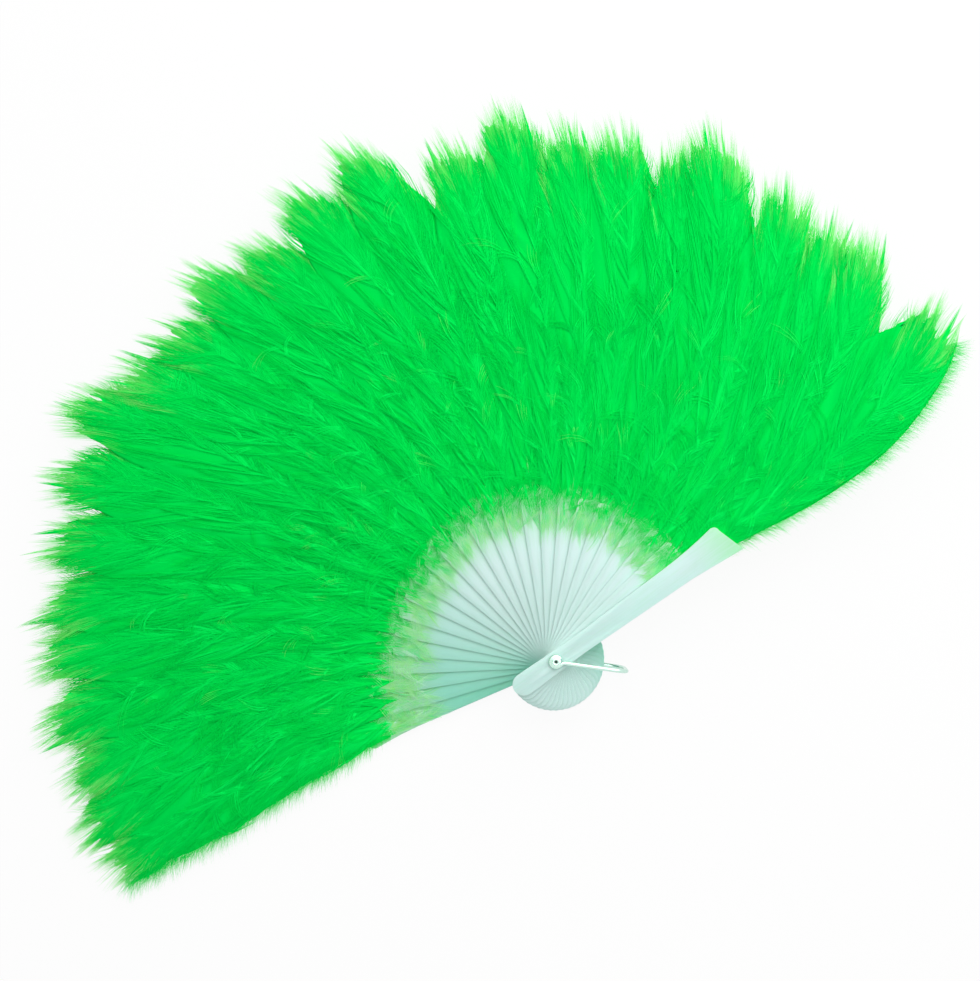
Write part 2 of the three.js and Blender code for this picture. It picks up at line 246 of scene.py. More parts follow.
def milky_polystyrene():
    """Moulded polystyrene: milky mint, satin, with faint flow lines along the stave. Low in the
    stack it is painted darker and greener, as painted shade and green light bounced from the
    down, and towards the plume it is painted green, as light bounced from the dyed down."""
    plastic = new_material("milky_mint_polystyrene")
    place = add_node(plastic, "ShaderNodeUVMap", {"uv_map": "along_stave"})
    split = add_node(plastic, "ShaderNodeSeparateXYZ", links={0: (place, "UV")})
    # Painted bounce light: green towards the plume.
    painted_light_share = add_node(
        plastic, "ShaderNodeMapRange", {"interpolation_type": "SMOOTHSTEP"},
        {"From Min": GREEN_BOUNCE_START, "From Max": GREEN_BOUNCE_END}, {"Value": (split, "X")},
    )
    stretch = add_node(
        plastic, "ShaderNodeMapping", values={"Scale": FLOW_LINES_PER_MM},
        links={"Vector": (place, "UV")},
    )
    flow = add_node(
        plastic, "ShaderNodeTexNoise", values={"Scale": 1, "Detail": 3, "Roughness": 0.5},
        links={"Vector": (stretch, "Vector")},
    )
    tint = add_node(
        plastic, "ShaderNodeMapRange",
        values={"From Min": NOISE_LOW, "From Max": NOISE_HIGH, "To Min": -0.1, "To Max": 0.14},
        links={"Value": (flow, "Fac")},
    )
    amount = add_node(
        plastic, "ShaderNodeMath", {"operation": "ADD", "use_clamp": True},
        links={0: (painted_light_share, "Result"), 1: (tint, "Result")},
    )
    # Painted shade: darker, greener colour low in the stack, standing for shade and green bounce
    # light from the down.
    spot = add_node(plastic, "ShaderNodeTexCoord")
    layer = add_node(plastic, "ShaderNodeSeparateXYZ", links={0: (spot, "Object")})
    high = add_node(
        plastic, "ShaderNodeMapRange", {"interpolation_type": "SMOOTHSTEP"},
        {"From Min": SHADE_FULL_BELOW, "From Max": SHADE_GONE_ABOVE}, {"Value": (layer, "Z")},
    )
    mint = add_node(
        plastic, "ShaderNodeMix", {"data_type": "RGBA"}, links={"Factor": (high, "Result")},
    )
    mint.inputs["A"].default_value = linear(SHADED_LOW_MINT)
    mint.inputs["B"].default_value = linear(MILKY_MINT)
    colour = add_node(
        plastic, "ShaderNodeMix", {"data_type": "RGBA"},
        links={"Factor": (amount, "Value"), "A": (mint, "Result")},
    )
    colour.inputs["B"].default_value = linear(BOUNCE_GREEN_MINT)
    gloss = add_node(
        plastic, "ShaderNodeMapRange",
        values={"From Min": NOISE_LOW, "From Max": NOISE_HIGH, "To Min": 0.28, "To Max": 0.4},
        links={"Value": (flow, "Fac")},
    )
    bump = add_node(
        plastic, "ShaderNodeBump", values={"Strength": 0.15, "Distance": FLOW_DEPTH},
        links={"Height": (flow, "Fac")},
    )
    surface = add_node(
        plastic, "ShaderNodeBsdfPrincipled",
        values={
            "IOR": POLYSTYRENE_IOR, "Subsurface Weight": MILKINESS,
            "Subsurface Scale": MILK_DEPTH, "Subsurface Radius": MILK_SPREAD,
        },
        links={
            "Base Color": (colour, "Result"),
            "Roughness": (gloss, "Result"),
            "Normal": (bump, "Normal"),
        },
    )
    add_node(plastic, "ShaderNodeOutputMaterial", links={"Surface": (surface, "BSDF")})
    return plastic


def select_only(obj):
    """Selects obj alone and makes it active."""
    bpy.ops.object.select_all(action="DESELECT")
    obj.select_set(True)
    bpy.context.view_layer.objects.active = obj


def edit_all(obj):
    """Opens the whole mesh of obj for editing."""
    select_only(obj)
    bpy.ops.object.mode_set(mode="EDIT")
    bpy.ops.mesh.select_all(action="SELECT")


def moulded_from(node, number):
    """The stave's finished mesh, lying along +X in the layer z = 0: the CAD node's shape with
    its flat faces made whole, every edge rounded and a map in millimetres. The front guard is
    bare, so its map starts further in and brings less of the painted green bounce light."""
    mesh = frame["nodes"][node].data.copy()
    to_master = Matrix.Rotation(-stave_angle(number), 4, "Z")
    mesh.transform(to_master @ Matrix.Translation((0, 0, -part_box(node)[0].z)))
    stave = bpy.data.objects.new("stave_master", mesh)
    bpy.context.collection.objects.link(stave)
    edit_all(stave)
    bpy.ops.mesh.remove_doubles(threshold=WELD)
    bpy.ops.mesh.dissolve_limited(angle_limit=FLAT_ANGLE)
    bpy.ops.mesh.select_all(action="DESELECT")
    bpy.ops.mesh.edges_select_sharp(sharpness=SHARP_EDGE)
    bpy.ops.mesh.bevel(offset=STAVE_EDGE, segments=STAVE_EDGE_STEPS, clamp_overlap=True)
    bpy.ops.object.mode_set(mode="OBJECT")
    while mesh.uv_layers:
        mesh.uv_layers.remove(mesh.uv_layers[0])
    places = mesh.uv_layers.new(name="along_stave")
    # The front guard's map is shifted along, so it takes less of the painted green bounce light.
    bounce_shift = FRONT_GUARD_BOUNCE_SHIFT if number == STAVE_COUNT else 0
    for loop in mesh.loops:
        spot = mesh.vertices[loop.vertex_index].co / MM
        places.data[loop.index].uv = (spot.x - bounce_shift, spot.y)
    mesh.materials.clear()
    mesh.materials.append(stave_plastic)
    bpy.ops.object.shade_smooth_by_angle(angle=SMOOTH_ANGLE)
    bpy.data.objects.remove(stave)
    return mesh


def place_stave(master, number):
    """A copy of the master, turned and raised to its place in the fan, riding on its body."""
    node = stave_node(number)
    mesh = master.copy()
    lift = Matrix.Translation((0, 0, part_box(node)[0].z))
    mesh.transform(lift @ Matrix.Rotation(stave_angle(number), 4, "Z"))
    stave = bpy.data.objects.new(f"{node}_moulded", mesh)
    bpy.context.collection.objects.link(stave)
    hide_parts(node)
    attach(stave, leaf_body(number))


stave_plastic = milky_polystyrene()
inner_master = moulded_from(stave_node(MIDDLE_STAVE), MIDDLE_STAVE)
for number in range(2, STAVE_COUNT):
    place_stave(inner_master, number)
for number in (1, STAVE_COUNT):
    place_stave(moulded_from(stave_node(number), number), number)


# Rivet: a hollow nickel-plated steel pin through all the staves, with a flat round head behind
# and its front end rolled over. It is modelled as it is formed, up from its back head, by rings
# of a radius and a height in millimetres.
ROUND_STEPS = 64
RIVET_RINGS = [
    (3.1, 0), (3.4, 0.3), (3.4, 0.7), (3.1, 1), (1.3, 1), (1.3, 34.95),
    (1.7, 35.0), (1.86, 35.18), (1.86, 35.38), (1.7, 35.6), (1.35, 35.7),
    (1.0, 35.62), (0.78, 35.4), (0.75, 35.0), (0.75, 32.7),
]
BORE_FROM = 32.6 * MM
BORE_RADIUS = 0.78 * MM
RUB_SIZE, RUB_DEPTH = 0.35 * MM, 0.02 * MM
# Painted shade in the rivet's bore: two darker green-greys, mottled by noise.
BORE_SHADE_MOTTLE_SIZE = 0.4 * MM
NICKEL = "CBEADD"
BORE_SHADE_DEEP = "6F887E"
BORE_SHADE_SOFT = "97AEA4"


def nickel_plate():
    """Nickel plate on drawn steel: a bright metal with faint rubbed marks that blur the white
    room in it a little."""
    nickel = new_material("nickel_plated_steel")
    place = add_node(nickel, "ShaderNodeTexCoord")
    rubs = add_node(
        nickel, "ShaderNodeTexNoise", values={"Scale": 1 / RUB_SIZE, "Detail": 2},
        links={"Vector": (place, "Object")},
    )
    rough = add_node(
        nickel, "ShaderNodeMapRange", values={"To Min": 0.16, "To Max": 0.34},
        links={"Value": (rubs, "Fac")},
    )
    bump = add_node(
        nickel, "ShaderNodeBump", values={"Strength": 0.12, "Distance": RUB_DEPTH},
        links={"Height": (rubs, "Fac")},
    )
    surface = add_node(
        nickel, "ShaderNodeBsdfPrincipled", values={"Base Color": linear(NICKEL), "Metallic": 1},
        links={"Roughness": (rough, "Result"), "Normal": (bump, "Normal")},
    )
    add_node(nickel, "ShaderNodeOutputMaterial", links={"Surface": (surface, "BSDF")})
    return nickel


def bore_shade_steel():
    """Dull steel inside the rivet's bore, coloured a dark, mottled green-grey as painted shade in
    the hollow.
    """
    steel = new_material("bore_steel_painted_shade")
    place = add_node(steel, "ShaderNodeTexCoord")
    painted_light_share = add_node(
        steel, "ShaderNodeTexNoise", values={"Scale": 1 / BORE_SHADE_MOTTLE_SIZE},
        links={"Vector": (place, "Object")},
    )
    shade = add_node(
        steel, "ShaderNodeMix", {"data_type": "RGBA"}, links={"Factor": (painted_light_share, "Fac")},
    )
    shade.inputs["A"].default_value = linear(BORE_SHADE_DEEP)
    shade.inputs["B"].default_value = linear(BORE_SHADE_SOFT)
    surface = add_node(
        steel, "ShaderNodeBsdfPrincipled", values={"Metallic": 0.6, "Roughness": 0.65},
        links={"Base Color": (shade, "Result")},
    )
    add_node(steel, "ShaderNodeOutputMaterial", links={"Surface": (surface, "BSDF")})
    return steel


def finish_piece(piece, material, nodes, body):
    bpy.ops.object.mode_set(mode="OBJECT")
    select_only(piece)
    bpy.ops.object.transform_apply(location=True, rotation=True, scale=True)
    piece.data.materials.clear()
    piece.data.materials.append(material)
    bpy.ops.object.shade_smooth_by_angle(angle=SMOOTH_ANGLE)
    for node in nodes:
        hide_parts(node)
    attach(piece, body)


nickel_plated = nickel_plate()
bpy.ops.object.select_all(action="DESELECT")
bpy.ops.mesh.primitive_circle_add(
    vertices=ROUND_STEPS, radius=RIVET_RINGS[0][0] * MM, fill_type="NGON",
)
rivet = bpy.context.object
rivet.name = "rivet_formed"
edit_all(rivet)
for (radius, height), (next_radius, next_height) in zip(RIVET_RINGS, RIVET_RINGS[1:]):
    rise = (0, 0, (next_height - height) * MM)
    bpy.ops.mesh.extrude_region_move(TRANSFORM_OT_translate={"value": rise})
    grow = next_radius / radius
    bpy.ops.transform.resize(value=(grow, grow, 1), center_override=(0, 0, next_height * MM))
bpy.ops.mesh.select_all(action="SELECT")
bpy.ops.mesh.normals_make_consistent(inside=False)
finish_piece(rivet, nickel_plated, ["rivet_pin"], "back_leaf")
# The faces inside the bore take the painted shade.
rivet.data.materials.append(bore_shade_steel())
for face in rivet.data.polygons:
    if face.center.z > BORE_FROM and face.center.xy.length < BORE_RADIUS:
        face.material_index = 1


# Collar: a small turned washer of the same plated steel under the rivet's rolled end. It keeps
# the bail's front eye on the rivet.
COLLAR_INNER, COLLAR_OUTER = 1.4 * MM, 2.4 * MM
COLLAR_FLOOR, COLLAR_TOP = 34.2 * MM, 35.0 * MM
COLLAR_EDGE, COLLAR_EDGE_STEPS = 0.2 * MM, 3
JOIN_GAP = 0.001 * MM

bpy.ops.object.select_all(action="DESELECT")
bpy.ops.mesh.primitive_plane_add(
    size=1, rotation=(math.pi / 2, 0, 0),
    location=((COLLAR_INNER + COLLAR_OUTER) / 2, 0, (COLLAR_FLOOR + COLLAR_TOP) / 2),
)
collar = bpy.context.object
collar.name = "rivet_collar_turned"
collar.scale = (COLLAR_OUTER - COLLAR_INNER, COLLAR_TOP - COLLAR_FLOOR, 1)
bpy.ops.object.transform_apply(location=True, rotation=True, scale=True)
edit_all(collar)
bpy.ops.mesh.bevel(offset=COLLAR_EDGE, segments=COLLAR_EDGE_STEPS, affect="VERTICES")
bpy.ops.mesh.select_all(action="SELECT")
bpy.ops.mesh.delete(type="ONLY_FACE")
bpy.ops.mesh.select_all(action="SELECT")
bpy.ops.mesh.spin(
    steps=ROUND_STEPS, angle=math.tau, center=(0, 0, 0), axis=(0, 0, 1), use_auto_merge=True,
)
bpy.ops.mesh.select_all(action="SELECT")
bpy.ops.mesh.remove_doubles(threshold=JOIN_GAP)
bpy.ops.mesh.normals_make_consistent(inside=False)
finish_piece(collar, nickel_plated, ["rivet_collar"], "back_leaf")


# Bail: one length of nickel-plated steel wire, bent to a long loop round the stack. Each end is
# curled to an open eye that turns on the rivet.
WIRE_RADIUS, WIRE_SIDES = 1.02, 24
EYE_RADIUS = 2.5
EYE_START, EYE_END, EYE_STEP = 42, 318, 12
LEG_START = 4.4
LEAD, LEAD_STEPS = 1.1, 7
BAIL_REACH = 34
BEND_RADIUS = 7
BEND_STEPS = 10
BACK_EYE, FRONT_EYE = 2.2, 33.0
BAIL_ANGLE = math.radians(-37)


def bail_half(height, towards):
    """The wire's middle from the cut end of one eye to the middle of the loop's far bar, in
    millimetres. The leg runs along +X at that height and the loop turns towards +Z or -Z."""
    turns = [math.radians(angle) for angle in range(EYE_START, EYE_END + 1, EYE_STEP)]
    points = [Vector((EYE_RADIUS * math.cos(t), EYE_RADIUS * math.sin(t), height)) for t in turns]
    leaving = Vector((-math.sin(turns[-1]), math.cos(turns[-1]), 0))
    start, end = points[-1], Vector((LEG_START, 0, height))
    near = start + leaving * LEAD
    far = end - Vector((LEAD, 0, 0))
    for step in range(1, LEAD_STEPS):
        share = step / LEAD_STEPS
        points.append(
            start * (1 - share) ** 3 + near * 3 * share * (1 - share) ** 2
            + far * 3 * share ** 2 * (1 - share) + end * share ** 3
        )
    points.append(end)
    middle = BAIL_REACH - BEND_RADIUS
    points.append(Vector(((LEG_START + middle) / 2, 0, height)))
    for step in range(BEND_STEPS + 1):
        turn = math.pi / 2 * step / BEND_STEPS
        points.append(Vector((
            middle + BEND_RADIUS * math.sin(turn), 0,
            height + towards * BEND_RADIUS * (1 - math.cos(turn)),
        )))
    return points


def wire_along(name, points, radius, sides):
    """A round wire along the points, as a mesh with closed ends."""
    curve = bpy.data.curves.new(name, "CURVE")
    curve.dimensions = "3D"
    curve.bevel_depth = radius * MM
    curve.bevel_resolution = sides // 4 - 1
    curve.use_fill_caps = True
    spline = curve.splines.new("POLY")
    spline.points.add(len(points) - 1)
    for spot, point in zip(spline.points, points):
        spot.co = (*(point * MM), 1)
    wire = bpy.data.objects.new(name, curve)
    bpy.context.collection.objects.link(wire)
    select_only(wire)
    bpy.ops.object.convert(target="MESH")
    wire = bpy.context.object
    edit_all(wire)
    bpy.ops.mesh.remove_doubles(threshold=JOIN_GAP)
    bpy.ops.mesh.normals_make_consistent(inside=False)
    bpy.ops.object.mode_set(mode="OBJECT")
    return wire


bail_points = bail_half(BACK_EYE, 1) + bail_half(FRONT_EYE, -1)[::-1]
bail = wire_along("bail_wire", bail_points, WIRE_RADIUS, WIRE_SIDES)
bail.rotation_euler = (0, 0, BAIL_ANGLE)
finish_piece(bail, nickel_plated, ["bail"], "bail")


# Link thread: a twisted polyester thread, dyed with the plumes, which passes down through a hole
# in every rib and sets how far the fan opens. Each stave carries the stitch at its own hole.
THREAD_RADIUS, THREAD_SIDES = 0.22, 8
THREAD_REACH = 112
THREAD_LIFT = 0.12
HOLE_PASS = 0.9
THREAD_TAIL = 2.5
KNOT_RADIUS = 0.5 * MM
KNOT_SHAPE = (1, 1.3, 0.8)
LAYER_PITCH = 1.1
STAVE_THICKNESS = 0.8
TWIST_PITCH = 0.5
PLY_DEPTH = 0.05 * MM
WAVE_TEXTURE_PERIOD = 0.314
THREAD_DYE = "8FE6B4"
# The thread's darker colour is painted shade in the grooves between its plies.
THREAD_PAINTED_SHADE = "5CC98C"


def twisted_polyester():
    """Twisted polyester thread: satin, with slanted bands along its plies: the dyed colour on the
    plies and darker painted shade in the grooves between them.
    """
    thread = new_material("twisted_polyester_thread")
    place = add_node(thread, "ShaderNodeTexCoord")
    plies = add_node(
        thread, "ShaderNodeTexWave", {"bands_direction": "DIAGONAL"},
        {"Scale": WAVE_TEXTURE_PERIOD / (TWIST_PITCH * MM), "Distortion": 0.4},
        {"Vector": (place, "Object")},
    )
    colour = add_node(
        thread, "ShaderNodeMix", {"data_type": "RGBA"}, links={"Factor": (plies, "Fac")},
    )
    colour.inputs["A"].default_value = linear(THREAD_PAINTED_SHADE)
    colour.inputs["B"].default_value = linear(THREAD_DYE)
    bump = add_node(
        thread, "ShaderNodeBump", values={"Strength": 0.4, "Distance": PLY_DEPTH},
        links={"Height": (plies, "Fac")},
    )
    surface = add_node(
        thread, "ShaderNodeBsdfPrincipled", values={"Roughness": 0.55},
        links={"Base Color": (colour, "Result"), "Normal": (bump, "Normal")},
    )
    add_node(thread, "ShaderNodeOutputMaterial", links={"Surface": (surface, "BSDF")})
    return thread


def stitch_points(first_stave, last_stave):
    """The stitch at one hole, in a frame with that stave along +X in the layer z = 0."""
    half_pitch = THREAD_REACH * SPREAD / (STAVE_COUNT - 1) / 2
    clear = THREAD_RADIUS + THREAD_LIFT
    over, under = STAVE_THICKNESS + clear, -clear
    start = -THREAD_TAIL if last_stave else -half_pitch
    end = THREAD_TAIL if first_stave else half_pitch
    joint_height = (over + under + LAYER_PITCH) / 2
    corners = [
        (start, over if last_stave else joint_height),
        (start + HOLE_PASS, over), (-HOLE_PASS, over), (HOLE_PASS, under), (end - HOLE_PASS, under),
        (end, under if first_stave else joint_height - LAYER_PITCH),
    ]
    return [
        Vector((
            THREAD_REACH * math.cos(offset / THREAD_REACH),
            THREAD_REACH * math.sin(offset / THREAD_REACH), height,
        ))
        for offset, height in corners
    ]


twisted_thread = twisted_polyester()
for number in range(1, STAVE_COUNT + 1):
    ends = (number == 1, number == STAVE_COUNT)
    points = stitch_points(*ends)
    stitch = wire_along(f"link_stitch_{number:02d}", points, THREAD_RADIUS, THREAD_SIDES)
    if any(ends):
        bpy.ops.object.select_all(action="DESELECT")
        bpy.ops.mesh.primitive_uv_sphere_add(
            segments=12, ring_count=8, radius=KNOT_RADIUS,
            location=points[-1 if number == 1 else 0] * MM,
        )
        bpy.context.object.scale = KNOT_SHAPE
        stitch.select_set(True)
        bpy.context.view_layer.objects.active = stitch
        bpy.ops.object.join()
    angle = stave_angle(number)
    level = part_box(f"plume_{number:02d}")[0].z
    stitch.rotation_euler = (0, 0, angle)
    stitch.location = (0, 0, level)
    finish_piece(stitch, twisted_thread, ["link_thread"], leaf_body(number))
    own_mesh(stitch)


# Plumes: a bunch of dyed turkey down on each stave, glued along its rib. Soft barbs leave a slim
# quill in silky locks and bend outwards to a blunt, ragged and paler tip, and fine down hides
# the root. Each barb is a closed three-sided strand that tapers to a point.
BARB_POINTS = 6
NO_LENGTH = 1e-9
VANE_LOCKS, VANE_LOCK_BARBS, VANE_LENGTH, VANE_THICK = 56, 9, (40, 66), (0.14, 0.26)
CURL_LOCKS, CURL_LOCK_BARBS, CURL_LENGTH, CURL_THICK = 30, 8, (18, 40), (0.12, 0.22)
WISP_LOCKS, WISP_LOCK_BARBS, WISP_LENGTH, WISP_THICK = 60, 9, (28, 44), (0.08, 0.17)
POINT_LOCKS, POINT_LOCK_BARBS, POINT_LENGTH, POINT_THICK = 2, 14, (40, 56), (0.14, 0.24)
STRAY_LOCKS, STRAY_LOCK_BARBS, STRAY_LENGTH, STRAY_THICK = 10, 5, (8, 28), (0.12, 0.24)
FRINGE_LOCKS, FRINGE_LOCK_BARBS, FRINGE_LENGTH, FRINGE_THICK = 84, 5, (6, 16), (0.05, 0.11)
FUZZ_BARBS, FUZZ_LENGTH, FUZZ_THICK = 4500, (4, 12), (0.025, 0.045)
CROSS_TURN, CROSS_SHARE, CROSS_THICKER = 0.36 * math.pi, 0.25, 1.4
THIN_ROOT = (-0.2, 0.3)
ABOUT_A_TURN = 6.3
VANE_SHORT = 26
CURL_SPAN = 92
WISP_SPREAD = 1.3
STRAY_START, STRAY_SHORT = 96, 45
FUZZ_START, FUZZ_SHORT = 22, 6
STEP_FROM, STEP_WIDTH = 3, 9
QUILL_ROOT, QUILL_SHORT, QUILL_POINTS = 80, 30, 20
QUILL_RADIUS, QUILL_THINNER = 0.65, 0.55
WEB_ROWS, WEB_COLUMNS = 90, 29
WEB_THICKNESS, WEB_SHORT, WEB_ENDS = 0.25, 5, (-7, 2)
WEB_BLUNT_FROM, WEB_BLUNT = 40, 0.25
WEB_PALE_FROM, WEB_PALE_TO = 22, 7
DOWN_STARTS = {1: 65, 5: 64, 9: 66, 13: 70, 17: 68, 21: 65, 25: 62}
DOWN_DEPTHS = {1: 24, 3: 22, 6: 13, 10: 9}
YELLOWER_FROM, YELLOWER_TO, YELLOWER_BY = 11, 17, 0.035
TANGLED_FROM, TANGLED_TO = 10, 5
RIDGES, RIDGE_LENGTH, RIDGE_TURN, RIDGE_BEND = 6, (7, 21), (-3, 3), 50
LEAST_SWELL, DOME_HEIGHT, LEFT_RISE, FULL_SWELL_REACH = 0.7, 2.2, 2, 130
TIP_THIN_FROM, TIP_THINNER = 60, 0.6
LEAN_POWER = 1.5
VANE_HALF_WIDTH, BACK_HALF_WIDTH = 20, 16
FRONT_HALF_WIDTH, FRONT_OUTER_SHARE = 28, 0.57
BEYOND_EDGE = 0.15
WIDENING_REACH = 93
NECK_REACH, NECK_HALF_WIDTH = 118, 8
ROOT_HALF_WIDTH = 5
WIDE_SHARE = 0.6
TIP_HALF_WIDTH = 11.5
GUARD_END, GUARD_HALF_WIDTH, GUARD_SLOPE = 103, 9, 0.5
GUARD_GAP, FUZZ_GUARD_GAP = 0.2, 0.3
FLOOR_CLEARANCE = 0.4
DEEP_DYE = "00CA48"
MIDDLE_DYE = "00E852"
BRIGHT_DYE = "08FC62"
PALE_DYE = "8CFF82"
DOWN_ROOT_DYE = "70F4A2"
DOWN_YELLOW_DYE = "9CFA88"
DOWN_END_DYE = "C8FEE0"
DOWN_FADED_DYE = "CCF8E4"
QUILL_DYE = "B4F5CE"
# Painted light in the down's tone: the ridge tone is painted shade between the soft ridges, and the
# root tone painted light near the root.
GREEN_TONE, RIDGE_SHADE_TONE, ROOT_LIGHT_TONE = 0.3, 0.16, 0.08
ROOT_LIGHT_FROM, ROOT_LIGHT_TO = 140, 95
WISP_TONES, POINT_TONES = (0.6, 0.7), (0.3, 0.45)
# The stray tufts' paler tones are painted highlights.
STRAY_HIGHLIGHT_TONES, FUZZ_TONES = (0.5, 0.6), (0.25, 0.55)
WEB_END_TONE = 0.62
DOWN_TONES, CROSS_TONES = (0.75, 0.88), (0.75, 0.86)
LEAST_DOWN_TONE = 0.755
WEB_DOWN_TONE = 0.84
QUILL_TONE = 0.95
FADING_TONE = 0.975
PALER_FROM = 0.45
SIDE_TONES = [-0.004, 0.004, 0]


def dyed_barbs():
    """Dyed feather barbs: matt and silky, with a green tinge in their gloss. The map's first
    value is the barb's tone, which picks its dye, and its second the way from its root to its
    end. A barb has the dyes A at its root and B at its end."""
    barbs = new_material("dyed_feather_barbs")
    place = add_node(barbs, "ShaderNodeUVMap", {"uv_map": "OFBake"})
    split = add_node(barbs, "ShaderNodeSeparateXYZ", links={0: (place, "UV")})
    stops = {
        "A": [(0, DEEP_DYE), (GREEN_TONE, MIDDLE_DYE), (0.55, BRIGHT_DYE), (0.62, MIDDLE_DYE),
              (0.72, BRIGHT_DYE), (0.76, DOWN_ROOT_DYE), (0.81, DOWN_YELLOW_DYE),
              (0.88, DOWN_END_DYE), (0.92, QUILL_DYE), (0.96, MIDDLE_DYE)],
        "B": [(0, MIDDLE_DYE), (GREEN_TONE, MIDDLE_DYE), (0.55, BRIGHT_DYE), (0.62, PALE_DYE),
              (0.72, PALE_DYE), (0.76, DOWN_YELLOW_DYE), (0.84, DOWN_FADED_DYE),
              (0.88, DOWN_FADED_DYE), (0.92, QUILL_DYE), (0.96, DOWN_END_DYE)],
    }
    way = add_node(
        barbs, "ShaderNodeMapRange", {"interpolation_type": "SMOOTHSTEP"},
        {"From Min": PALER_FROM, "From Max": 1}, {"Value": (split, "Y")},
    )
    colour = add_node(
        barbs, "ShaderNodeMix", {"data_type": "RGBA"}, links={"Factor": (way, "Result")},
    )
    for end, dyes in stops.items():
        ramp = add_node(barbs, "ShaderNodeValToRGB", links={"Fac": (split, "X")})
        elements = ramp.color_ramp.elements
        elements[0].position, elements[0].color = dyes[0][0], linear(dyes[0][1])
        elements[1].position, elements[1].color = dyes[-1][0], linear(dyes[-1][1])
        for position, dye in dyes[1:-1]:
            elements.new(position).color = linear(dye)
        barbs.node_tree.links.new(ramp.outputs["Color"], colour.inputs[end])
    surface = add_node(
        barbs, "ShaderNodeBsdfPrincipled",
        values={
            "Roughness": 0.7, "Specular IOR Level": 0.03, "Specular Tint": (0.1, 1, 0.3, 1),
            "Sheen Weight": 0.12, "Sheen Roughness": 0.5, "Sheen Tint": (0, 1, 0.25, 1),
        },
        links={"Base Color": (colour, "Result")},
    )
    add_node(barbs, "ShaderNodeOutputMaterial", links={"Surface": (surface, "BSDF")})
    return barbs


def ease(low, high, value):
    """Smooth step from 0 at low to 1 at high."""
    share = np.clip((value - low) / (high - low), 0, 1)
    return share * share * (3 - 2 * share)


